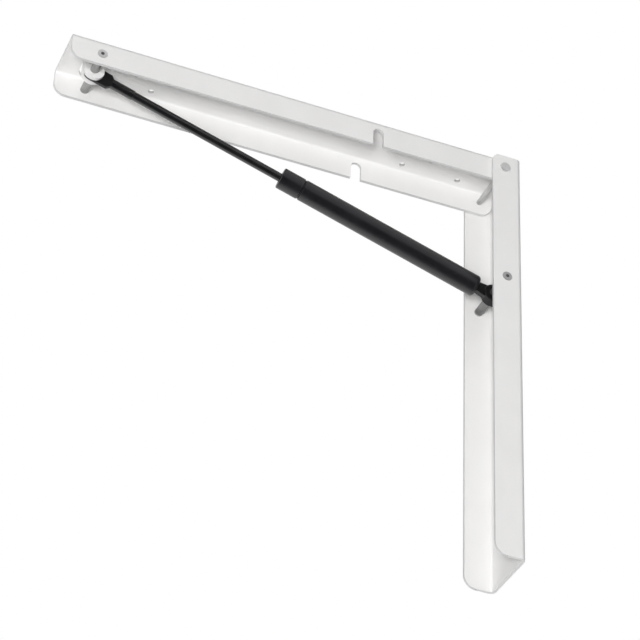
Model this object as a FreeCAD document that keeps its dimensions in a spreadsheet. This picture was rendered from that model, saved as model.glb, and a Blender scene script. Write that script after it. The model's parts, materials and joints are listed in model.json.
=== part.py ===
import FreeCAD, Part
import Sketcher
import math
import os

# Drop leaf table bracket: a wall channel, a leaf arm hinged to it and a gas strut between them.
# Frame: +Z up, wall face at Y = 0 with the bracket on its -Y side, X across the bracket,
# origin on the wall face at the height of the hinge axis. The near side is +X.

SIZES = {
    # Folded steel sheet
    "sheet": 3.0,
    "bend_inner": 2.0,
    # Leaf arm: an upturned channel whose top plate carries the leaf
    "arm_width": 56.5,
    "arm_reach": 438.0,
    "arm_top": 14.5,
    "arm_flange": 27.5,
    "arm_tip_corner": 12.0,
    "stop_gap": 0.25,
    "fold_clear": 0.8,
    # Wall channel
    "wall_depth": 29.0,
    "wall_top": 14.0,
    "wall_drop": 418.0,
    "wall_top_corner": 7.0,
    "wall_foot_corner": 12.0,
    # Hinge
    "hinge_pin_d": 5.0,
    "hinge_head_d": 10.0,
    "hinge_head": 1.8,
    "hinge_tail_d": 8.0,
    "hinge_washer": 1.0,
    "hinge_washer_d": 13.0,
    "washer_clear": 0.25,
    "running_clear": 0.05,
    # Strut pins
    "low_pin_drop": 126.3,
    "tip_pin_inset": 28.4,
    "tip_pin_drop": 1.2,
    "strut_pin_d": 8.0,
    "pin_spigot_d": 6.0,
    "pin_head_d": 9.4,
    "pin_head": 0.8,
    "pin_recess_d": 3.0,
    "pin_recess": 2.5,
    "head_edge": 0.35,
    # Notches that take the lower pin when the arm is folded
    "notch_side": 1.2,
    "notch_over": 1.8,
    # Tongues bent down out of the top plate, which hold the rod's eye
    "tongue_width": 19.0,
    "tongue_bend": 1.0,
    "tongue_window": 46.8,
    "blade_clear": 0.3,
    # Screw holes of the leaf and of the wall
    "screw_hole_d": 5.5,
    "leaf_hole_row": 32.0,
    "heel_row_reach": 43.5,
    "heel_hole_reach": 77.0,
    "mid_row_reach": 100.5,
    "tip_row_inset": 88.0,
    "tip_hole_inset": 69.0,
    "wall_hole_row": 30.0,
    "wall_holes_top_drop": 60.0,
    "wall_holes_foot_inset": 38.0,
    # Rod end fitting
    "blade": 3.2,
    "blade_width": 16.0,
    "blade_reach": 19.2,
    "blade_shoulder": 3.0,
    "bush_wall": 1.0,
    "shank_d": 9.0,
    "shank_length": 22.0,
    "shank_socket": 16.0,
    # Piston rod and piston
    "rod_d": 8.0,
    "rod_tail_d": 5.0,
    "piston_length": 10.0,
    "piston_gap": 0.35,
    "piston_rebound": 8.0,
    "ring_height": 3.0,
    "ring_depth": 1.6,
    "nut_d": 10.0,
    "nut_height": 4.0,
    # Strut tube
    "tube_d": 20.0,
    "tube_wall": 1.25,
    "tube_rear": 16.0,
    "tube_length": 205.0,
    "tube_shoulder": 3.5,
    "tube_end_wall": 2.5,
    "groove_back": 22.0,
    "groove_width": 1.4,
    "groove_depth": 0.7,
    "groove_edge": 0.4,
    "mouth_d": 11.0,
    "mouth_lip": 1.2,
    "mouth_edge": 0.8,
    "seal_washer": 1.0,
    "seal_height": 5.0,
    # Lower end fitting
    "foot_blade": 5.0,
    "foot_neck_width": 10.6,
    "foot_root_width": 15.2,
    "foot_boss_d": 18.4,
    "foot_boss": 10.0,
    "boss_edge": 0.8,
    "stud_d": 6.0,
    "stud_length": 6.0,
}

ROUND_END = 0.97
FULL_TURN = 360.0


class Size:
    """A length that carries its number and the spreadsheet formula that gives it."""

    def __init__(self, formula, number):
        self.formula = formula
        self.number = number

    def __add__(self, other):
        other = as_size(other)
        return Size(f"({self.formula} + {other.formula})", self.number + other.number)

    def __sub__(self, other):
        other = as_size(other)
        return Size(f"({self.formula} - {other.formula})", self.number - other.number)

    def __mul__(self, factor):
        return Size(f"({self.formula} * {factor})", self.number * factor)

    def __truediv__(self, divisor):
        return Size(f"({self.formula} / {divisor})", self.number / divisor)

    def __neg__(self):
        return Size(f"(0 - {self.formula})", -self.number)


class Chamfer(Size):
    """A corner cut off straight, by the same length along both sides."""


def as_size(value):
    return value if isinstance(value, Size) else Size(str(value), value)


def chamfer(length):
    return Chamfer(length.formula, length.number)


ZERO = Size("0", 0.0)
doc = FreeCAD.newDocument("drop_leaf_bracket")
sheet_of_sizes = doc.addObject("Spreadsheet::Sheet", "Dims")
size = {}
for row, (name, number) in enumerate(SIZES.items(), start=1):
    sheet_of_sizes.set(f"A{row}", name)
    sheet_of_sizes.set(f"B{row}", str(number))
    sheet_of_sizes.setAlias(f"B{row}", name)
    size[name] = Size(f"Dims.{name}", number)
doc.recompute()

# Places that follow from the sizes
sheet = size["sheet"]
bend_outer = size["bend_inner"] + sheet
arm_half = size["arm_width"] / 2
arm_inner_half = arm_half - sheet
plate_under = size["arm_top"] - sheet
arm_lower_edge = size["arm_top"] - size["arm_flange"]
heel_radius = size["arm_flange"] - size["arm_top"]
arm_rear = sheet + size["stop_gap"]
side_gap = size["hinge_washer"] + size["washer_clear"]
wall_inner_half = arm_half + side_gap
wall_half = wall_inner_half + sheet
hinge_back = sheet + size["fold_clear"] + heel_radius
low_pin_back = hinge_back - size["tip_pin_drop"]
notch_half = size["strut_pin_d"] / 2 + size["notch_side"]
blade_half = size["blade"] / 2
tongue_inner = blade_half + size["blade_clear"]
tongue_outer = tongue_inner + sheet
tongue_end = -size["tip_pin_drop"] - size["tongue_width"] / 2
tip_pin_reach = size["arm_reach"] - size["tip_pin_inset"]
tongue_start = tip_pin_reach - size["tongue_width"] / 2
pin_half = size["strut_pin_d"] / 2
pin_bore = pin_half + size["running_clear"]
bush_outer = pin_bore + size["bush_wall"]
eye_bush_outer = pin_half + size["bush_wall"]
strut_run = tip_pin_reach - low_pin_back
strut_rise = size["low_pin_drop"] - size["tip_pin_drop"]
strut_length = Size(f"sqrt({strut_run.formula}^2 + {strut_rise.formula}^2)",
                    math.hypot(strut_run.number, strut_rise.number))
strut_lean = Size(f"atan({strut_run.formula} / {strut_rise.formula})",
                  math.degrees(math.atan2(strut_run.number, strut_rise.number)))
tube_half = size["tube_d"] / 2
tube_bore = tube_half - size["tube_wall"]
mouth = size["tube_rear"] + size["tube_length"]
groove_top = mouth - size["groove_back"] + size["groove_width"] / 2
groove_bottom = groove_top - size["groove_width"]
bead_top = groove_top + size["tube_wall"]
bead_bottom = groove_bottom - size["tube_wall"]
seal_bottom = bead_top + size["seal_washer"]
seal_top = seal_bottom + size["seal_height"]
guide_top = mouth - size["mouth_lip"]
rod_half = size["rod_d"] / 2
rod_bore = rod_half + size["running_clear"]
tail_half = size["rod_tail_d"] / 2
piston_top = bead_bottom - size["piston_rebound"]
piston_bottom = piston_top - size["piston_length"]
ring_outer = tube_bore - size["running_clear"]
piston_half = ring_outer - size["piston_gap"]
ring_inner = piston_half - size["ring_depth"]
ring_bottom = piston_bottom + (size["piston_length"] - size["ring_height"]) / 2
ring_top = ring_bottom + size["ring_height"]
blade_shoulder_at = strut_length - size["blade_reach"]
shank_bottom = blade_shoulder_at - size["shank_length"]
socket_top = shank_bottom + size["shank_socket"]
boss_half = size["foot_boss"] / 2

PIECES = []


def bind(thing, path, length):
    thing.setExpression(path, as_size(length).formula)


def new_body(label):
    body = doc.addObject("PartDesign::Body", label)
    body.Label = label
    PIECES.append(body)
    return body


def sketch_on(body, plane, offset=ZERO):
    """Sketch on one of the body's origin planes, moved along that plane's normal."""
    sketch = body.newObject("Sketcher::SketchObject", "Sketch")
    support = next(item for item in body.Origin.OriginFeatures if item.Role == plane)
    sketch.AttachmentSupport = [(support, "")]
    sketch.MapMode = "FlatFace"
    bind(sketch, "AttachmentOffset.Base.z", offset)
    return sketch


def fix_point(sketch, kind, geometry, point, length):
    """Hold a point at a distance from the sketch's upright (DistanceX) or level (DistanceY) axis."""
    if length.number == 0:
        axis = -2 if kind == "DistanceX" else -1
        sketch.addConstraint(Sketcher.Constraint("PointOnObject", geometry, point, axis))
        return
    index = sketch.addConstraint(Sketcher.Constraint(kind, -1, 1, geometry, point, length.number))
    bind(sketch, f"Constraints[{index}]", length)


def outline(sketch, sides):
    """Closed outline of upright ("x") and level ("y") sides in turn.

    Each side is its direction, its distance from the axis and the radius or chamfer of the corner after it.
    """
    sides = [(way, as_size(place), as_size(radius)) for way, place, radius in sides]
    corners = []
    for side, after in zip(sides, sides[1:] + sides[:1]):
        place = {side[0]: side[1].number, after[0]: after[1].number}
        corners.append(FreeCAD.Vector(place["x"], place["y"], 0))
    steps = []
    for index, corner in enumerate(corners):
        step = corner - corners[index - 1]
        steps.append(step / step.Length)
    lines = []
    for index, (way, place, radius) in enumerate(sides):
        start = corners[index - 1] + steps[index] * sides[index - 1][2].number
        end = corners[index] - steps[index] * radius.number
        line = sketch.addGeometry(Part.LineSegment(start, end))
        sketch.addConstraint(Sketcher.Constraint("Vertical" if way == "x" else "Horizontal", line))
        fix_point(sketch, "DistanceX" if way == "x" else "DistanceY", line, 1, place)
        lines.append(line)
    for index, (way, place, radius) in enumerate(sides):
        after = (index + 1) % len(sides)
        if radius.number == 0:
            sketch.addConstraint(Sketcher.Constraint("Coincident", lines[index], 2, lines[after], 1))
            continue
        ease = cut_corner if isinstance(radius, Chamfer) else round_corner
        ease(sketch, lines[index], lines[after], corners[index], steps[index], steps[after], radius)


def round_corner(sketch, line, next_line, corner, step, next_step, radius):
    centre = corner - step * radius.number + next_step * radius.number
    ends = [corner - step * radius.number - centre, corner + next_step * radius.number - centre]
    left_turn = step.x * next_step.y - step.y * next_step.x > 0
    first, last = (0, 1) if left_turn else (1, 0)
    angles = [math.atan2(end.y, end.x) for end in ends]
    circle = Part.Circle(centre, FreeCAD.Vector(0, 0, 1), radius.number)
    arc = sketch.addGeometry(Part.ArcOfCircle(circle, angles[first], angles[last]))
    sketch.addConstraint(Sketcher.Constraint("Tangent", line, 2, arc, 1 if left_turn else 2))
    sketch.addConstraint(Sketcher.Constraint("Tangent", arc, 2 if left_turn else 1, next_line, 1))
    index = sketch.addConstraint(Sketcher.Constraint("Radius", arc, radius.number))
    bind(sketch, f"Constraints[{index}]", radius)


def cut_corner(sketch, line, next_line, corner, step, next_step, length):
    start = corner - step * length.number
    end = corner + next_step * length.number
    cut = sketch.addGeometry(Part.LineSegment(start, end))
    sketch.addConstraint(Sketcher.Constraint("Coincident", line, 2, cut, 1))
    sketch.addConstraint(Sketcher.Constraint("Coincident", cut, 2, next_line, 1))
    for kind, run in (("DistanceX", end.x - start.x), ("DistanceY", end.y - start.y)):
        first, last = (1, 2) if run > 0 else (2, 1)
        index = sketch.addConstraint(Sketcher.Constraint(kind, cut, first, cut, last, length.number))
        bind(sketch, f"Constraints[{index}]", length)


def polygon(sketch, corners):
    """Closed outline of straight sides between corners, each given by its distances from both axes."""
    points = [FreeCAD.Vector(across.number, up.number, 0) for across, up in corners]
    lines = [sketch.addGeometry(Part.LineSegment(start, end))
             for start, end in zip(points, points[1:] + points[:1])]
    for line, after, (across, up) in zip(lines, lines[1:] + lines[:1], corners):
        sketch.addConstraint(Sketcher.Constraint("Coincident", line, 2, after, 1))
        fix_point(sketch, "DistanceX", line, 1, across)
        fix_point(sketch, "DistanceY", line, 1, up)


def hole(sketch, across, up, diameter):
    across, up = as_size(across), as_size(up)
    circle = Part.Circle(FreeCAD.Vector(across.number, up.number, 0), FreeCAD.Vector(0, 0, 1),
                         diameter.number / 2)
    geometry = sketch.addGeometry(circle)
    fix_point(sketch, "DistanceX", geometry, 3, across)
    fix_point(sketch, "DistanceY", geometry, 3, up)
    index = sketch.addConstraint(Sketcher.Constraint("Diameter", geometry, diameter.number))
    bind(sketch, f"Constraints[{index}]", diameter)


def pad(body, sketch, length, backwards=False):
    feature = body.newObject("PartDesign::Pad", "Pad")
    feature.Profile = sketch
    bind(feature, "Length", length)
    feature.Reversed = backwards
    doc.recompute()


def pocket(body, sketch, length):
    """Cut against the sketch plane's normal, and make sure that something was cut."""
    before = body.Shape.Volume
    feature = body.newObject("PartDesign::Pocket", "Pocket")
    feature.Profile = sketch
    bind(feature, "Length", length)
    doc.recompute()
    if not body.Shape.Volume < before:
        raise RuntimeError(f"{body.Label}: {sketch.Name} cuts nothing")


def fillet(body, radius, spots):
    """Round the edges whose middles lie at the given spots."""
    base = body.Tip
    names = []
    for spot in spots:
        target = FreeCAD.Vector(*[as_size(place).number for place in spot])
        gaps = [edge.CenterOfMass.distanceToPoint(target) for edge in base.Shape.Edges]
        names.append(f"Edge{gaps.index(min(gaps)) + 1}")
    feature = body.newObject("PartDesign::Fillet", "Fillet")
    feature.Base = (base, names)
    bind(feature, "Radius", radius)
    doc.recompute()


def place(body, back, height, axis, angle):
    """Put a body's own origin at a distance from the wall and a height, turned about X or Y."""
    body.Placement = FreeCAD.Placement(FreeCAD.Vector(), FreeCAD.Rotation(axis, angle.number))
    bind(body, "Placement.Base.y", -back)
    bind(body, "Placement.Base.z", height)
    if axis.x:
        bind(body, "Placement.Rotation.Angle", angle)


def along_strut(body):
    place(body, low_pin_back, -size["low_pin_drop"], FreeCAD.Vector(1, 0, 0), strut_lean)


def across_at(body, back, height):
    place(body, back, height, FreeCAD.Vector(0, 1, 0), Size("90", 90.0))


def turned(label, sides):
    """A piece turned about its own Z axis from a half section: x is the radius, y the length."""
    body = new_body(label)
    sketch = sketch_on(body, "XZ_Plane")
    outline(sketch, sides)
    feature = body.newObject("PartDesign::Revolution", "Revolution")
    feature.Profile = sketch
    feature.ReferenceAxis = (sketch, ["V_Axis"])
    feature.Angle = FULL_TURN
    doc.recompute()
    return body


def ring(label, inner, outer, bottom, top):
    return turned(label, [("x", inner, 0), ("y", bottom, 0), ("x", outer, 0), ("y", top, 0)])


def wall_channel():
    body = new_body("wall_channel")
    section = sketch_on(body, "XY_Plane", size["wall_top"])
    outline(section, [
        ("x", -wall_half, bend_outer), ("y", ZERO, bend_outer), ("x", wall_half, 0),
        ("y", -size["wall_depth"], 0), ("x", wall_inner_half, size["bend_inner"]),
        ("y", -sheet, size["bend_inner"]), ("x", -wall_inner_half, 0), ("y", -size["wall_depth"], 0),
    ])
    pad(body, section, size["wall_top"] + size["wall_drop"], backwards=True)
    flange_middle = wall_inner_half + sheet / 2
    for corner, height in (("wall_top_corner", size["wall_top"]), ("wall_foot_corner", -size["wall_drop"])):
        spots = [(side, -size["wall_depth"], height) for side in (flange_middle, -flange_middle)]
        fillet(body, size[corner], spots)
    pivots = sketch_on(body, "YZ_Plane", wall_half)
    hole(pivots, -hinge_back, ZERO, size["hinge_pin_d"])
    hole(pivots, -low_pin_back, -size["low_pin_drop"], size["pin_spigot_d"])
    pocket(body, pivots, wall_half * 2)
    screws = sketch_on(body, "XZ_Plane", sheet * 2)
    for side in (size["wall_hole_row"] / 2, -size["wall_hole_row"] / 2):
        for drop in (size["wall_holes_top_drop"], size["wall_drop"] - size["wall_holes_foot_inset"]):
            hole(screws, side, -drop, size["screw_hole_d"])
    pocket(body, screws, sheet * 2)


def leaf_channel():
    body = new_body("leaf_channel")
    section = sketch_on(body, "XZ_Plane", arm_rear)
    outline(section, [
        ("x", -arm_half, bend_outer), ("y", size["arm_top"], bend_outer), ("x", arm_half, 0),
        ("y", arm_lower_edge, 0), ("x", arm_inner_half, size["bend_inner"]),
        ("y", plate_under, size["bend_inner"]), ("x", -arm_inner_half, 0), ("y", arm_lower_edge, 0),
    ])
    pad(body, section, size["arm_reach"] - arm_rear)
    flange_middle = arm_inner_half + sheet / 2
    for radius, reach in ((size["arm_tip_corner"], size["arm_reach"]), (heel_radius, arm_rear)):
        fillet(body, radius, [(side, -reach, arm_lower_edge) for side in (flange_middle, -flange_middle)])
    notch = sketch_on(body, "YZ_Plane", arm_half)
    notch_at = hinge_back + size["low_pin_drop"]
    notch_top = notch_half + size["notch_over"] - size["tip_pin_drop"]
    notch_round = notch_half * ROUND_END
    outline(notch, [
        ("x", -notch_at - notch_half, notch_round), ("y", notch_top, notch_round),
        ("x", -notch_at + notch_half, 0), ("y", arm_lower_edge - sheet, 0),
    ])
    pocket(body, notch, size["arm_width"])
    pivots = sketch_on(body, "YZ_Plane", arm_half)
    hole(pivots, -hinge_back, ZERO, size["hinge_pin_d"] + size["running_clear"] * 2)
    hole(pivots, -tip_pin_reach, -size["tip_pin_drop"], size["pin_spigot_d"])
    pocket(body, pivots, size["arm_width"])
    tongues(body)
    screws = sketch_on(body, "XY_Plane", size["arm_top"])
    tip_row_reach = size["arm_reach"] - size["tip_row_inset"]
    for reach in (size["heel_row_reach"], size["mid_row_reach"], tip_row_reach):
        for side in (size["leaf_hole_row"] / 2, -size["leaf_hole_row"] / 2):
            hole(screws, side, -reach, size["screw_hole_d"])
    for reach in (size["heel_hole_reach"], size["arm_reach"] - size["tip_hole_inset"]):
        hole(screws, ZERO, -reach, size["screw_hole_d"])
    pocket(body, screws, sheet * 2)


def tongues(body):
    """Two tongues cut free of the top plate and bent down, one on each side of the rod's eye."""
    tongue_round = size["tongue_width"] / 2 * ROUND_END
    window = sketch_on(body, "XY_Plane", size["arm_top"])
    window_half = size["tongue_window"] / 2
    outline(window, [
        ("x", -window_half, tongue_round), ("y", -tongue_start, tongue_round),
        ("x", window_half, tongue_round), ("y", -tongue_start - size["tongue_width"], tongue_round),
    ])
    pocket(body, window, sheet * 2)
    section = sketch_on(body, "XZ_Plane", tongue_start)
    tongue_bend_outer = size["tongue_bend"] + sheet
    outline(section, [
        ("x", -tongue_outer, tongue_bend_outer), ("y", size["arm_top"], tongue_bend_outer),
        ("x", tongue_outer, 0), ("y", tongue_end, 0),
        ("x", tongue_inner, size["tongue_bend"]), ("y", plate_under, size["tongue_bend"]),
        ("x", -tongue_inner, 0), ("y", tongue_end, 0),
    ])
    pad(body, section, size["tongue_width"])
    tongue_middle = tongue_inner + sheet / 2
    ends = [-tongue_start, -tongue_start - size["tongue_width"]]
    fillet(body, tongue_round, [(side, end, tongue_end)
                                for side in (tongue_middle, -tongue_middle) for end in ends])
    bore = sketch_on(body, "YZ_Plane", tongue_outer)
    hole(bore, -tip_pin_reach, -size["tip_pin_drop"], size["strut_pin_d"])
    pocket(body, bore, tongue_outer * 2)


def hinge():
    pin = size["hinge_pin_d"] / 2
    end = wall_half + size["hinge_head"]
    edge = chamfer(size["head_edge"])
    body = turned("hinge_pin", [
        ("x", ZERO, 0), ("y", -end, edge), ("x", size["hinge_tail_d"] / 2, 0), ("y", -wall_half, 0),
        ("x", pin, 0), ("y", wall_half, 0), ("x", size["hinge_head_d"] / 2, edge), ("y", end, 0),
    ])
    across_at(body, hinge_back, ZERO)
    washer = size["hinge_washer_d"] / 2
    seat = wall_inner_half - size["hinge_washer"]
    near = ring("hinge_washer_near", pin, washer, seat, wall_inner_half)
    far = ring("hinge_washer_far", pin, washer, -wall_inner_half, -seat)
    for body in (near, far):
        across_at(body, hinge_back, ZERO)


def riveted_end(inner, outer):
    """Sides of a pin's end: shoulder, spigot through the flange, and a hollow flattened head."""
    end = outer + size["pin_head"]
    return [
        ("x", pin_half, 0), ("y", inner, 0), ("x", size["pin_spigot_d"] / 2, 0), ("y", outer, 0),
        ("x", size["pin_head_d"] / 2, chamfer(size["head_edge"])), ("y", end, 0),
        ("x", size["pin_recess_d"] / 2, 0), ("y", end - size["pin_recess"], 0),
    ]


def mirrored(sides):
    """The same sides on the other half of a pin, in the order that closes the outline."""
    flipped = []
    for index in range(len(sides) - 1, -1, -1):
        way, place, radius = sides[index]
        corner = sides[index - 1][2] if index else 0
        flipped.append((way, -place if way == "y" else place, corner))
    return flipped


def lower_pin():
    end = riveted_end(wall_inner_half, wall_half)
    pin = turned("lower_pin", [("x", ZERO, 0)] + mirrored(end)[:-1] + end)
    bush = ring("lower_eye_bush", pin_bore, bush_outer, -boss_half, boss_half)
    for body in (pin, bush):
        across_at(body, low_pin_back, -size["low_pin_drop"])


def tip_pin():
    """The pin's two ends sit in the flanges and tongues, and its middle in the rod's eye."""
    end = [("x", ZERO, 0), ("y", tongue_inner, 0)] + riveted_end(arm_inner_half, arm_half)
    near = turned("tip_pin_near", end)
    far = turned("tip_pin_far", mirrored(end))
    core = turned("tip_pin_core", [
        ("x", ZERO, 0), ("y", -blade_half, 0), ("x", pin_half, 0), ("y", blade_half, 0),
    ])
    bush = ring("rod_eye_bush", pin_half, eye_bush_outer, -blade_half, blade_half)
    for body in (near, far, core, bush):
        across_at(body, tip_pin_reach, -size["tip_pin_drop"])


def rod_end_fitting():
    body = new_body("rod_end_fitting")
    blade = sketch_on(body, "YZ_Plane", -blade_half)
    half = size["blade_width"] / 2
    eye_round = half * ROUND_END
    shoulder = chamfer(size["blade_shoulder"])
    outline(blade, [
        ("x", -half, eye_round), ("y", strut_length + half, eye_round),
        ("x", half, shoulder), ("y", blade_shoulder_at, shoulder),
    ])
    pad(body, blade, size["blade"])
    shank = sketch_on(body, "XY_Plane", shank_bottom)
    hole(shank, ZERO, ZERO, size["shank_d"])
    pad(body, shank, size["shank_length"])
    eye = sketch_on(body, "YZ_Plane", blade_half)
    hole(eye, ZERO, strut_length, eye_bush_outer * 2)
    pocket(body, eye, size["blade"])
    socket = sketch_on(body, "XY_Plane", socket_top)
    hole(socket, ZERO, ZERO, size["rod_d"])
    pocket(body, socket, size["shank_socket"])
    along_strut(body)


def piston_rod():
    nut_bottom = piston_bottom - size["nut_height"]
    rod = turned("piston_rod", [
        ("x", ZERO, 0), ("y", nut_bottom, 0), ("x", tail_half, 0), ("y", piston_top, 0),
        ("x", rod_half, 0), ("y", socket_top, 0),
    ])
    piston = turned("piston", [
        ("x", tail_half, 0), ("y", piston_bottom, 0), ("x", piston_half, 0), ("y", ring_bottom, 0),
        ("x", ring_inner, 0), ("y", ring_top, 0), ("x", piston_half, 0), ("y", piston_top, 0),
    ])
    band = ring("piston_ring", ring_inner, ring_outer, ring_bottom, ring_top)
    nut = ring("piston_nut", tail_half, size["nut_d"] / 2, nut_bottom, piston_bottom)
    for body in (rod, piston, band, nut):
        along_strut(body)


def strut_tube():
    groove = tube_half - size["groove_depth"]
    bead = tube_bore - size["groove_depth"]
    edge = chamfer(size["groove_edge"])
    inner_shoulder = size["tube_shoulder"] - size["tube_wall"]
    tube = turned("strut_tube", [
        ("x", size["stud_d"] / 2, 0), ("y", size["tube_rear"], size["tube_shoulder"]),
        ("x", tube_half, edge), ("y", groove_bottom, 0), ("x", groove, 0), ("y", groove_top, edge),
        ("x", tube_half, chamfer(size["mouth_edge"])), ("y", mouth, 0),
        ("x", size["mouth_d"] / 2, 0), ("y", guide_top, 0),
        ("x", tube_bore, 0), ("y", bead_top, 0), ("x", bead, 0), ("y", bead_bottom, 0),
        ("x", tube_bore, inner_shoulder), ("y", size["tube_rear"] + size["tube_end_wall"], 0),
    ])
    washer = ring("seal_washer", rod_bore, tube_bore, bead_top, seal_bottom)
    seal = ring("rod_seal", rod_bore, tube_bore, seal_bottom, seal_top)
    guide = ring("rod_guide", rod_bore, tube_bore, seal_top, guide_top)
    for body in (tube, washer, seal, guide):
        along_strut(body)


def lower_end_fitting():
    body = new_body("lower_end_fitting")
    neck = sketch_on(body, "YZ_Plane", -size["foot_blade"] / 2)
    half = size["foot_neck_width"] / 2
    root = size["foot_root_width"] / 2
    polygon(neck, [(-root, ZERO), (root, ZERO), (half, size["tube_rear"]), (-half, size["tube_rear"])])
    pad(body, neck, size["foot_blade"])
    boss = sketch_on(body, "YZ_Plane", -boss_half)
    hole(boss, ZERO, ZERO, size["foot_boss_d"])
    pad(body, boss, size["foot_boss"])
    fillet(body, size["boss_edge"], [(side, ZERO, ZERO) for side in (boss_half, -boss_half)])
    stud = sketch_on(body, "XY_Plane", size["tube_rear"])
    hole(stud, ZERO, ZERO, size["stud_d"])
    pad(body, stud, size["stud_length"])
    bore = sketch_on(body, "YZ_Plane", boss_half)
    hole(bore, ZERO, ZERO, bush_outer * 2)
    pocket(body, bore, size["foot_boss"])
    along_strut(body)


wall_channel()
leaf_channel()
hinge()
lower_pin()
tip_pin()
rod_end_fitting()
piston_rod()
strut_tube()
lower_end_fitting()
doc.recompute()

for thing in doc.Objects:
    if "Invalid" in thing.State or "Error" in thing.State:
        raise RuntimeError(f"{thing.Label} failed: {thing.State}")
for piece in PIECES:
    if piece.Shape.isNull() or not piece.Shape.isValid():
        raise RuntimeError(f"{piece.Label} has no valid shape")

os.makedirs("parts", exist_ok=True)
for piece in PIECES:
    piece.Shape.exportStep(f"parts/{piece.Label}.step")
    print(piece.Label, len(piece.Shape.Solids), round(piece.Shape.Volume, 1))
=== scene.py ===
import json
import math

import bmesh
import bpy
from mathutils import Matrix, Vector


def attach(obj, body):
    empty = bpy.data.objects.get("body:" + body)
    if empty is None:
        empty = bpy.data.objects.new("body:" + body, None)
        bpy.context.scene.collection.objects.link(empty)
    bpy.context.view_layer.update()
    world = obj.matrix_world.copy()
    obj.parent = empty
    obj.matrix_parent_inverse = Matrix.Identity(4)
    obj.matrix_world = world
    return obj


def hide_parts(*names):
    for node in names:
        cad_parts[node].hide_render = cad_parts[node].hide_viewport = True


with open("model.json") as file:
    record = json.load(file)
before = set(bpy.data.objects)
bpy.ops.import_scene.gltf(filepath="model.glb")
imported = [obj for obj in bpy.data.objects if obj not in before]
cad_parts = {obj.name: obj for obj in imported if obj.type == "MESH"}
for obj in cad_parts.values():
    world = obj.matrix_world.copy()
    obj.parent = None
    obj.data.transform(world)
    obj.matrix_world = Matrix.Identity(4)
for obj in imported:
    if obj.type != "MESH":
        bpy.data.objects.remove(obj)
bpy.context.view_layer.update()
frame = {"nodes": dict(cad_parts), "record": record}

MM = 0.001

# Points on the pins' axes, in the frame's metres, and the ways that pieces are turned or drawn along
HINGE_PIN = Vector((0.0, -16.8, 0.0)) * MM
LOWER_PIN = Vector((0.0, -15.6, -126.3)) * MM
TIP_PIN = Vector((0.0, -409.6, -1.2)) * MM
STRUT_AXIS = (TIP_PIN - LOWER_PIN).normalized()
CROSS = Vector((1.0, 0.0, 0.0))
UP = Vector((0.0, 0.0, 1.0))

# Pins, in millimetres: distances from the bracket's middle between which the shade painted on the shaft
# turns into the highlight painted on the head, and distances from the pin's axis between which the shade
# painted in the head's hollow turns into the rim
PIN_SHADE_PAINT_END = 27.6
PIN_HIGHLIGHT_PAINT_START = 28.4
RECESS_SHADE_PAINT = 1.2
RECESS_SHADE_PAINT_END = 2.0
# How far the brightness of a pin's shaft varies to each side
PIN_MOTTLE = 0.09

# Folded sheet, in millimetres: its thickness, half widths over the flanges, and the height of the arm's top
SHEET = 3.0
ARM_HALF = 28.25
WALL_HALF = 32.5
ARM_TOP = 14.5


# Local frames: a piece's own Z runs along the axis that its grain follows
def frame_along(origin, axis, across=CROSS):
    z = axis.normalized()
    x = (across - across.dot(z) * z).normalized()
    y = z.cross(x)
    turn = Matrix((x, y, z)).transposed().to_4x4()
    return Matrix.Translation(origin) @ turn


STRUT_FRAME = frame_along(LOWER_PIN, STRUT_AXIS)
HINGE_FRAME = frame_along(HINGE_PIN, CROSS, UP)
LOWER_PIN_FRAME = frame_along(LOWER_PIN, CROSS, UP)
TIP_PIN_FRAME = frame_along(TIP_PIN, CROSS, UP)
PART_FRAME = Matrix.Identity(4)


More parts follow.
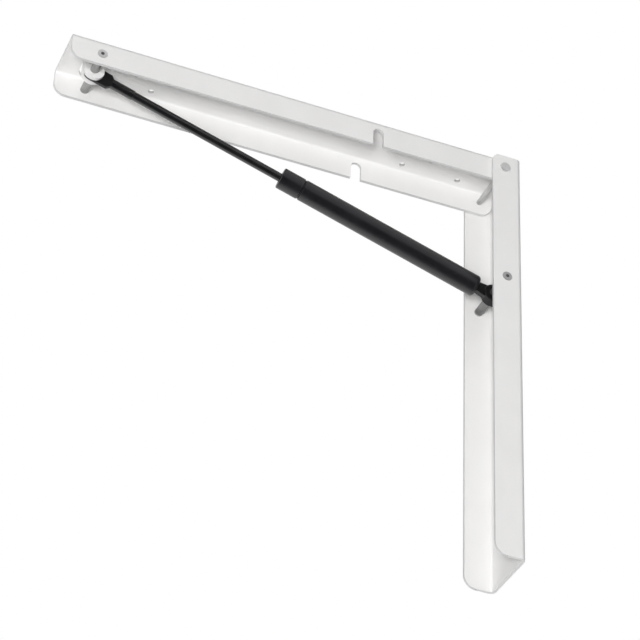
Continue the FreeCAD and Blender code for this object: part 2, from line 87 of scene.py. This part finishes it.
# Shader helpers
class Shader:
    """A node material with a Principled surface, and short ways to add its texture nodes."""

    def __init__(self, name, colour, roughness, metallic=0.0):
        self.material = bpy.data.materials.new(name)
        self.material.use_nodes = True
        self.nodes = self.material.node_tree.nodes
        self.links = self.material.node_tree.links
        self.surface = self.nodes["Principled BSDF"]
        self.surface.inputs["Base Color"].default_value = (*colour, 1.0)
        self.surface.inputs["Roughness"].default_value = roughness
        self.surface.inputs["Metallic"].default_value = metallic
        self.coords = self.nodes.new("ShaderNodeTexCoord").outputs["Object"]

    def stretched(self, scale):
        mapping = self.nodes.new("ShaderNodeMapping")
        mapping.inputs["Scale"].default_value = scale
        self.links.new(self.coords, mapping.inputs["Vector"])
        return mapping.outputs["Vector"]

    def noise(self, scale, detail=3.0, rough=0.5, vector=None):
        node = self.nodes.new("ShaderNodeTexNoise")
        node.inputs["Scale"].default_value = scale
        node.inputs["Detail"].default_value = detail
        node.inputs["Roughness"].default_value = rough
        self.links.new(vector or self.coords, node.inputs["Vector"])
        return node.outputs["Fac"]

    def remap(self, value, low=0.0, high=1.0, start=0.3, end=0.7):
        """Spread a value over low to high. It lies between start and end, as noise mostly does."""
        node = self.nodes.new("ShaderNodeMapRange")
        node.inputs["From Min"].default_value = start
        node.inputs["From Max"].default_value = end
        node.inputs["To Min"].default_value = low
        node.inputs["To Max"].default_value = high
        self.links.new(value, node.inputs["Value"])
        return node.outputs["Result"]

    def add(self, first, second, share=1.0):
        """The first value plus a share of the second."""
        node = self.nodes.new("ShaderNodeMath")
        node.operation = "MULTIPLY_ADD"
        node.inputs[1].default_value = share
        self.links.new(second, node.inputs[0])
        self.links.new(first, node.inputs[2])
        return node.outputs["Value"]

    def distance_along(self):
        """Distance along the piece's own axis, from the origin of its own frame."""
        parts = self.nodes.new("ShaderNodeSeparateXYZ")
        self.links.new(self.coords, parts.inputs["Vector"])
        node = self.nodes.new("ShaderNodeMath")
        node.operation = "ABSOLUTE"
        self.links.new(parts.outputs["Z"], node.inputs[0])
        return node.outputs["Value"]

    def distance_out(self):
        """Distance from the piece's own axis."""
        flat = self.nodes.new("ShaderNodeVectorMath")
        flat.operation = "MULTIPLY"
        flat.inputs[1].default_value = (1.0, 1.0, 0.0)
        self.links.new(self.coords, flat.inputs[0])
        node = self.nodes.new("ShaderNodeVectorMath")
        node.operation = "LENGTH"
        self.links.new(flat.outputs["Vector"], node.inputs[0])
        return node.outputs["Value"]

    def turned_lines(self, scale):
        """Tool marks of a lathe: rings on a flat end, and lines round a cylinder."""
        node = self.nodes.new("ShaderNodeTexNoise")
        node.noise_dimensions = "1D"
        node.inputs["Scale"].default_value = scale
        node.inputs["Detail"].default_value = 2.0
        self.links.new(self.add(self.distance_along(), self.distance_out(), share=0.25), node.inputs["W"])
        return node.outputs["Fac"]

    def product(self, first, second):
        node = self.nodes.new("ShaderNodeMath")
        node.operation = "MULTIPLY"
        self.links.new(first, node.inputs[0])
        self.links.new(second, node.inputs[1])
        return node.outputs["Value"]

    def shade(self, value, dark, light):
        node = self.nodes.new("ShaderNodeMix")
        node.data_type = "RGBA"
        node.inputs["A"].default_value = (*dark, 1.0)
        node.inputs["B"].default_value = (*light, 1.0)
        self.links.new(value, node.inputs["Factor"])
        self.links.new(node.outputs["Result"], self.surface.inputs["Base Color"])

    def rough(self, value):
        self.links.new(value, self.surface.inputs["Roughness"])

    def bump(self, value, strength, depth):
        node = self.nodes.new("ShaderNodeBump")
        node.inputs["Strength"].default_value = strength
        node.inputs["Distance"].default_value = depth
        self.links.new(value, node.inputs["Height"])
        self.links.new(node.outputs["Normal"], self.surface.inputs["Normal"])


def powder_coat(name, thin, thick):
    """White powder coat: fine orange peel, a faint mottle and slightly uneven gloss."""
    shader = Shader(name, thick, roughness=0.36)
    shader.surface.inputs["Specular IOR Level"].default_value = 0.35
    mottle = shader.noise(scale=26.0, detail=4.0)
    peel = shader.noise(scale=720.0, detail=2.0, rough=0.45)
    grit = shader.noise(scale=3200.0, detail=1.0)
    uneven = shader.add(mottle, peel, share=0.5)
    shader.shade(shader.remap(mottle), dark=thin, light=thick)
    shader.rough(shader.remap(uneven, low=0.3, high=0.42, start=0.5, end=1.0))
    shader.bump(shader.add(peel, grit, share=0.25), strength=0.14, depth=0.00012)
    return shader.material


def black_paint():
    """Smooth black paint on drawn tube: faint drawing lines under a lightly rippled gloss."""
    shader = Shader("black_tube_paint", (0.011, 0.011, 0.012), roughness=0.3)
    shader.surface.inputs["Specular IOR Level"].default_value = 0.8
    ripple = shader.noise(scale=420.0, detail=2.0)
    lines = shader.noise(scale=900.0, detail=2.0, rough=0.6, vector=shader.stretched((1.0, 1.0, 0.02)))
    dust = shader.noise(scale=60.0, detail=5.0, rough=0.6)
    uneven = shader.add(dust, lines, share=0.4)
    shader.shade(shader.remap(dust), dark=(0.006, 0.006, 0.0075), light=(0.011, 0.011, 0.0135))
    shader.rough(shader.remap(uneven, low=0.26, high=0.4, start=0.4, end=1.0))
    shader.bump(shader.add(ripple, lines, share=0.6), strength=0.1, depth=0.00008)
    return shader.material


def nitrided_rod():
    """Black nitrided and polished rod: very fine grinding rings and a harder gloss."""
    shader = Shader("black_nitrided_rod", (0.007, 0.007, 0.008), roughness=0.22)
    shader.surface.inputs["IOR"].default_value = 1.8
    rings = shader.noise(scale=2600.0, detail=2.0, rough=0.6, vector=shader.stretched((0.05, 0.05, 1.0)))
    smear = shader.noise(scale=110.0, detail=4.0)
    uneven = shader.add(smear, rings, share=0.5)
    shader.shade(shader.remap(smear), dark=(0.005, 0.005, 0.006), light=(0.009, 0.009, 0.01))
    shader.rough(shader.remap(uneven, low=0.13, high=0.24, start=0.45, end=1.05))
    shader.bump(rings, strength=0.08, depth=0.00004)
    return shader.material


def black_plating(name, deep, worn):
    """Black plated steel fittings: a stamped, finely pitted face that is worn a little grey."""
    shader = Shader(name, deep, roughness=0.36)
    shader.surface.inputs["Specular IOR Level"].default_value = 0.35
    pits = shader.noise(scale=1500.0, detail=3.0, rough=0.6)
    cloud = shader.noise(scale=150.0, detail=5.0, rough=0.55)
    uneven = shader.add(cloud, pits, share=0.4)
    shader.shade(shader.remap(cloud, start=0.35, end=0.75), dark=deep, light=worn)
    shader.rough(shader.remap(uneven, low=0.28, high=0.46, start=0.4, end=1.0))
    shader.bump(pits, strength=0.12, depth=0.00006)
    return shader.material


def turned_steel(name, shaft, head, hollow):
    """Plain turned steel: tool rings about the piece's own axis.

    shaft and head set how bright the colour is painted: shade painted on the shaft, a highlight painted on
    the ends. A hollow head has shade painted inside.
    """
    shader = Shader(name, (0.6, 0.6, 0.595), roughness=0.3, metallic=0.7)
    rings = shader.turned_lines(scale=2600.0)
    bloom = shader.noise(scale=110.0, detail=2.0)
    uneven = shader.add(bloom, rings, share=0.3)
    # Painted light: the shaft inside the flanges is coloured darker, as shade, and the head outside them
    # lighter, as a highlight
    end = shader.remap(shader.distance_along(), start=PIN_SHADE_PAINT_END * MM, end=PIN_HIGHLIGHT_PAINT_START * MM)
    mottled = shader.remap(bloom, low=shaft - PIN_MOTTLE, high=shaft + PIN_MOTTLE)
    painted_glint = shader.add(mottled, end, share=head - shaft)
    # Painted shade: the hollow in a head is coloured dark
    if hollow:
        rim = shader.remap(shader.distance_out(), start=RECESS_SHADE_PAINT * MM, end=RECESS_SHADE_PAINT_END * MM)
        painted_glint = shader.product(painted_glint, rim)
    shader.shade(painted_glint, dark=(0.1, 0.1, 0.099), light=(0.82, 0.82, 0.815))
    shader.rough(shader.remap(uneven, low=0.28, high=0.38, start=0.4, end=1.0))
    shader.bump(rings, strength=0.05, depth=0.00003)
    return shader.material


def bearing_plastic():
    """Black bearing plastic of the eye bushes: a matt moulded grain, rubbed a little greyer in patches."""
    shader = Shader("black_bearing_plastic", (0.018, 0.018, 0.018), roughness=0.5)
    grain = shader.noise(scale=1900.0, detail=3.0)
    rub = shader.noise(scale=260.0, detail=4.0)
    shader.shade(shader.remap(rub), dark=(0.012, 0.012, 0.0125), light=(0.026, 0.026, 0.026))
    shader.rough(shader.remap(grain, low=0.42, high=0.6))
    shader.bump(grain, strength=0.12, depth=0.00005)
    return shader.material


def natural_plastic():
    """Unpigmented bearing plastic: waxy, with a fine moulded grain."""
    shader = Shader("natural_plastic", (0.72, 0.72, 0.7), roughness=0.45)
    grain = shader.noise(scale=1800.0, detail=3.0)
    cloud = shader.noise(scale=160.0, detail=3.0)
    shader.shade(shader.remap(cloud), dark=(0.68, 0.68, 0.66), light=(0.75, 0.75, 0.735))
    shader.rough(shader.remap(grain, low=0.4, high=0.55))
    shader.bump(grain, strength=0.1, depth=0.00005)
    return shader.material


def turned_aluminium():
    """Turned light alloy of the piston, with a fine feed mark."""
    shader = Shader("turned_aluminium", (0.6, 0.6, 0.61), roughness=0.35, metallic=1.0)
    feed = shader.noise(scale=2000.0, detail=2.0, vector=shader.stretched((0.05, 0.05, 1.0)))
    shader.shade(shader.remap(feed), dark=(0.52, 0.52, 0.53), light=(0.66, 0.66, 0.67))
    shader.rough(shader.remap(feed, low=0.28, high=0.42))
    shader.bump(feed, strength=0.1, depth=0.00004)
    return shader.material


def seal_rubber():
    """Matt black rubber of the seals."""
    shader = Shader("seal_rubber", (0.018, 0.018, 0.018), roughness=0.7)
    grain = shader.noise(scale=1500.0, detail=4.0)
    shader.shade(shader.remap(grain), dark=(0.014, 0.014, 0.014), light=(0.024, 0.024, 0.024))
    shader.rough(shader.remap(grain, low=0.6, high=0.8))
    shader.bump(grain, strength=0.15, depth=0.00006)
    return shader.material


FINISHES = {
    "white_coat": powder_coat("white_powder_coat", (0.837, 0.832, 0.825), (0.868, 0.863, 0.856)),
    "tube_black": black_paint(),
    "rod_black": nitrided_rod(),
    "fitting_black": black_plating("black_plated_steel", (0.004, 0.004, 0.0045), (0.009, 0.009, 0.0095)),
    # The tip pins: shade painted on their shafts and in their heads' hollows, a highlight painted on their
    # heads
    "pin_steel": turned_steel("turned_steel", shaft=0.33, head=0.83, hollow=True),
    "bush_plastic": bearing_plastic(),
    "washer_plastic": natural_plastic(),
    "piston_metal": turned_aluminium(),
    "seal_rubber": seal_rubber(),
}
# Pins painted lighter or darker than the other turned steel, to stand in for the light and shade that fall
# on them
PAINTED_PIN_TONE = {
    "hinge_pin": turned_steel("turned_steel_plain_head_painted_lighter", shaft=0.58, head=0.87, hollow=False),
    "lower_pin": turned_steel("turned_steel_painted_darker", shaft=0.13, head=0.5, hollow=True),
}
# Painted shade: the cut edges of the sheet are coloured darker than the coat, to stand in for the shade
# along them
EDGE_SHADE_PAINT = powder_coat("white_powder_coat_painted_edge_shade", (0.65, 0.65, 0.647), (0.73, 0.73, 0.727))
# Painted shade: the walls of the holes in the sheet are coloured darker still, as the shade inside them
HOLE_SHADE_PAINT = powder_coat("white_powder_coat_painted_hole_shade", (0.52, 0.52, 0.518), (0.62, 0.62, 0.618))
# Painted highlight: the edges of the fittings are coloured lighter than the plating, as a sheen
EDGE_SHEEN_PAINT = black_plating("black_plated_steel_painted_edge_sheen", (0.02, 0.02, 0.0205), (0.07, 0.07, 0.071))
SLOT_OF = {entry["node"]: entry["material_slot"] for entry in frame["record"]["subparts"]}
BODY_OF = {node: body for body, nodes in frame["record"]["behaviour"]["bodies"].items() for node in nodes}


# Pieces that show: the solid's own faces, joined up again, with eased edges and smooth bends.
# Points nearer than WELD metres become one, faces that meet at less than FLAT are merged, and outward edges
# that turn by more than SHARP are eased
WELD = 2e-6
FLAT = math.radians(0.4)
SHARP = math.radians(32.0)

# Zones of faces with a finish of their own: lowest and highest corners, in millimetres of the piece's own
# frame, with X as a distance from the middle
FAR = 1000.0
WALL_FLANGES = ((WALL_HALF - SHEET, -FAR, -FAR), (WALL_HALF, FAR, FAR))
WALL_HOLES = ((0.0, -SHEET, -400.0), (25.0, 0.0, -20.0))
ARM_FLANGES = ((ARM_HALF - SHEET, -FAR, -FAR), (ARM_HALF, FAR, FAR))
ARM_HOLES = ((0.0, -385.0, ARM_TOP - SHEET), (22.0, -30.0, ARM_TOP))
ROD_BLADE = ((0.0, -FAR, 394.0), (1.6, FAR, 422.0))
ROD_SHANK = ((0.0, -FAR, 370.0), (5.0, FAR, 394.0))
FOOT_NECK = ((0.0, -FAR, 8.0), (2.5, FAR, 15.9))

# Those faces, most of them left by the cut of the sheet: the finish, the axis that the faces run along, and
# the zone. CUT_LEAN is the most that their normals may lean along that axis
CUT_LEAN = 0.05
CUT_FACES = {
    "wall_channel": ((EDGE_SHADE_PAINT, 0, WALL_FLANGES), (HOLE_SHADE_PAINT, 1, WALL_HOLES)),
    "leaf_channel": ((EDGE_SHADE_PAINT, 0, ARM_FLANGES), (HOLE_SHADE_PAINT, 2, ARM_HOLES)),
    "rod_end_fitting": ((EDGE_SHEEN_PAINT, 0, ROD_BLADE), (FINISHES["rod_black"], 2, ROD_SHANK)),
    "lower_end_fitting": ((EDGE_SHEEN_PAINT, 0, FOOT_NECK),),
}


def finish_index(face, cuts):
    """Which finish a face takes: 0 for the piece's own, and from 1 for the row of cuts that holds it."""
    middle = face.calc_center_median() / MM
    place = (abs(middle.x), middle.y, middle.z)
    for index, (_, axis, (low, high)) in enumerate(cuts, 1):
        within = all(low[k] <= place[k] <= high[k] for k in range(3))
        if within and abs(face.normal[axis]) < CUT_LEAN:
            return index
    return 0


def dressed(node, local, edge):
    """A shown piece over a solid, with its outward hard edges eased by up to the given width in metres."""
    solid = frame["nodes"][node]
    cuts = CUT_FACES.get(node, ())
    mesh = bpy.data.meshes.new(node + "_shown")
    faces = bmesh.new()
    faces.from_mesh(solid.data)
    bmesh.ops.remove_doubles(faces, verts=faces.verts, dist=WELD)
    bmesh.ops.dissolve_limit(faces, angle_limit=FLAT, verts=faces.verts, edges=faces.edges)
    bmesh.ops.transform(faces, matrix=local.inverted(), verts=faces.verts)
    eased = faces.edges.layers.float.new("bevel_weight_edge")
    for rim in faces.edges:
        if rim.is_convex and rim.calc_face_angle() > SHARP:
            rim[eased] = 1.0
    for face in faces.faces:
        face.smooth = True
        face.material_index = finish_index(face, cuts)
    faces.to_mesh(mesh)
    faces.free()
    piece = bpy.data.objects.new(node + "_shown", mesh)
    bpy.context.scene.collection.objects.link(piece)
    piece.matrix_world = local
    bevel = piece.modifiers.new("eased edges", "BEVEL")
    bevel.width = edge
    bevel.segments = 2
    bevel.limit_method = "WEIGHT"
    bevel.use_clamp_overlap = True
    normals = piece.modifiers.new("flat faces stay flat", "WEIGHTED_NORMAL")
    normals.keep_sharp = True
    mesh.materials.append(PAINTED_PIN_TONE.get(node, FINISHES[SLOT_OF[node]]))
    for finish, *_ in cuts:
        mesh.materials.append(finish)
    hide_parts(node)
    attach(piece, BODY_OF[node])


# Dressed pieces: the node, the frame that its grain follows, and the most easing of its edges in millimetres
SHOWN = (
    ("wall_channel", PART_FRAME, 0.6),
    ("leaf_channel", PART_FRAME, 0.6),
    ("hinge_pin", HINGE_FRAME, 0.15),
    ("lower_pin", LOWER_PIN_FRAME, 0.12),
    ("tip_pin_near", TIP_PIN_FRAME, 0.12),
    ("tip_pin_far", TIP_PIN_FRAME, 0.12),
    ("rod_end_fitting", STRUT_FRAME, 0.4),
    ("lower_end_fitting", STRUT_FRAME, 0.4),
    ("strut_tube", STRUT_FRAME, 0.15),
    ("piston_rod", STRUT_FRAME, 0.1),
)
for node, local, edge in SHOWN:
    dressed(node, local, edge * MM)

# Every solid takes its slot's finish, which shows on those that no piece replaces
for node, solid in frame["nodes"].items():
    solid.data.materials.clear()
    solid.data.materials.append(FINISHES[SLOT_OF[node]])


# Stage: a pale floor far below, because the bracket hangs on a wall and is seen from below.
# Its height and width are in metres
FLOOR_Z = -3.7
FLOOR_SIZE = 100.0
FLOOR_GLOW = 0.6
# World: the strength of its soft fill, and the ways to what gloss sees, the dark of the room on the lens
# side and the white backdrop
FILL = 0.15
LENS_SIDE = (0.758, -0.285, -0.587)
BACKDROP = (-0.648, -0.229, -0.726)
# Lamps: the place that they are turned to, and each one's name, place and width in metres and power in watts
MIDDLE = Vector((0.0, -0.2, -0.15))
LAMPS = (
    ("key", (4.127, -2.446, -2.811), 1.6, 250.0),
    ("side", (2.9, -0.3, 0.3), 1.0, 4.0),
    ("front", (0.4, -2.4, -0.3), 1.2, 4.0),
    ("back", (-1.4, 0.95, 1.3), 1.6, 56.0),
)


def stage_floor():
    """A wide floor that the camera sees brighter than it is lit."""
    bpy.ops.mesh.primitive_plane_add(size=FLOOR_SIZE, location=(0.0, 0.0, FLOOR_Z))
    floor = bpy.context.object
    floor.name = "floor"
    floor.visible_glossy = False
    shader = Shader("pale_floor", (0.82, 0.82, 0.82), roughness=0.7)
    shader.surface.inputs["Emission Color"].default_value = (1.0, 1.0, 1.0, 1.0)
    seen = shader.nodes.new("ShaderNodeLightPath").outputs["Is Camera Ray"]
    glow = shader.remap(seen, high=FLOOR_GLOW, start=0.0, end=1.0)
    shader.links.new(glow, shader.surface.inputs["Emission Strength"])
    floor.data.materials.append(shader.material)


def world_light(fill):
    """White where the camera or a clear ray sees it, and a soft fill for the light that surfaces scatter.

    Gloss sees the white backdrop behind and below the bracket, the dark of the room on the lens side, and
    a softer light across from the backdrop.
    """
    world = bpy.data.worlds.new("studio")
    bpy.context.scene.world = world
    world.use_nodes = True
    world.cycles.sampling_method = "NONE"
    nodes, links = world.node_tree.nodes, world.node_tree.links
    background = nodes["Background"]
    background.inputs["Color"].default_value = (1.0, 1.0, 1.0, 1.0)
    ray = nodes.new("ShaderNodeLightPath").outputs
    way = nodes.new("ShaderNodeTexCoord").outputs["Generated"]

    def joined(operation, first, second):
        node = nodes.new("ShaderNodeMath")
        node.operation = operation
        links.new(first, node.inputs[0])
        links.new(second, node.inputs[1])
        return node.outputs["Value"]

    def ramp(value, start, end, low, high):
        node = nodes.new("ShaderNodeMapRange")
        node.interpolation_type = "SMOOTHSTEP"
        node.inputs["From Min"].default_value = start
        node.inputs["From Max"].default_value = end
        node.inputs["To Min"].default_value = low
        node.inputs["To Max"].default_value = high
        links.new(value, node.inputs["Value"])
        return node.outputs["Result"]

    def towards(direction, start, end, low, high):
        node = nodes.new("ShaderNodeVectorMath")
        node.operation = "DOT_PRODUCT"
        node.inputs[1].default_value = direction
        links.new(way, node.inputs[0])
        return ramp(node.outputs["Value"], start, end, low, high)

    lens_side = towards(LENS_SIDE, start=0.1, end=0.85, low=1.0, high=0.05)
    backdrop = towards(BACKDROP, start=-0.7, end=0.5, low=0.6, high=1.0)
    across = towards(BACKDROP, start=-0.62, end=-0.4, low=0.45, high=0.0)
    room = joined("MAXIMUM", joined("MULTIPLY", lens_side, backdrop), across)
    gloss = joined("MULTIPLY", ray["Is Glossy Ray"], room)
    plain = joined("MAXIMUM", ray["Is Camera Ray"], ray["Is Transmission Ray"])
    diffuse = ramp(ray["Is Diffuse Ray"], start=0.0, end=1.0, low=0.0, high=fill)
    level = joined("MAXIMUM", joined("MAXIMUM", plain, gloss), diffuse)
    links.new(level, background.inputs["Strength"])


def soft_lamp(name, place, size, power):
    """A large even lamp that lights surfaces but leaves no bright square in a gloss."""
    data = bpy.data.lights.new(name, "AREA")
    data.shape = "SQUARE"
    data.size = size
    data.energy = power
    lamp = bpy.data.objects.new(name, data)
    lamp.location = place
    lamp.visible_glossy = False
    lamp.visible_camera = False
    lamp.rotation_euler = (MIDDLE - Vector(place)).to_track_quat("-Z", "Y").to_euler()
    bpy.context.scene.collection.objects.link(lamp)


stage_floor()
world_light(FILL)
for name, place, size, power in LAMPS:
    soft_lamp(name, place, size, power)


# Camera: the view found from the photograph's edges, from below and to one side. Its place is in metres, its
# roll in radians and its lens in millimetres
CAMERA_PLACE = Vector((1.6362, -0.7967, -1.4733))
CAMERA_LOOK = Vector((-0.75759, 0.28471, 0.58736)).normalized()
CAMERA_ROLL = 0.0447
CAMERA_LENS = 139.0


def photo_camera():
    right = CAMERA_LOOK.cross(UP).normalized()
    up = right.cross(CAMERA_LOOK)
    turned_right = right * math.cos(CAMERA_ROLL) + up * math.sin(CAMERA_ROLL)
    turned_up = up * math.cos(CAMERA_ROLL) - right * math.sin(CAMERA_ROLL)
    data = bpy.data.cameras.new("photo view")
    data.lens = CAMERA_LENS
    data.sensor_width = 36.0
    data.clip_start = 0.05
    data.clip_end = 120.0
    camera = bpy.data.objects.new("photo view", data)
    turn = Matrix((turned_right, turned_up, -CAMERA_LOOK)).transposed().to_4x4()
    camera.matrix_world = Matrix.Translation(CAMERA_PLACE) @ turn
    bpy.context.scene.collection.objects.link(camera)
    bpy.context.scene.camera = camera


photo_camera()
bpy.context.scene.view_settings.view_transform = "Standard"
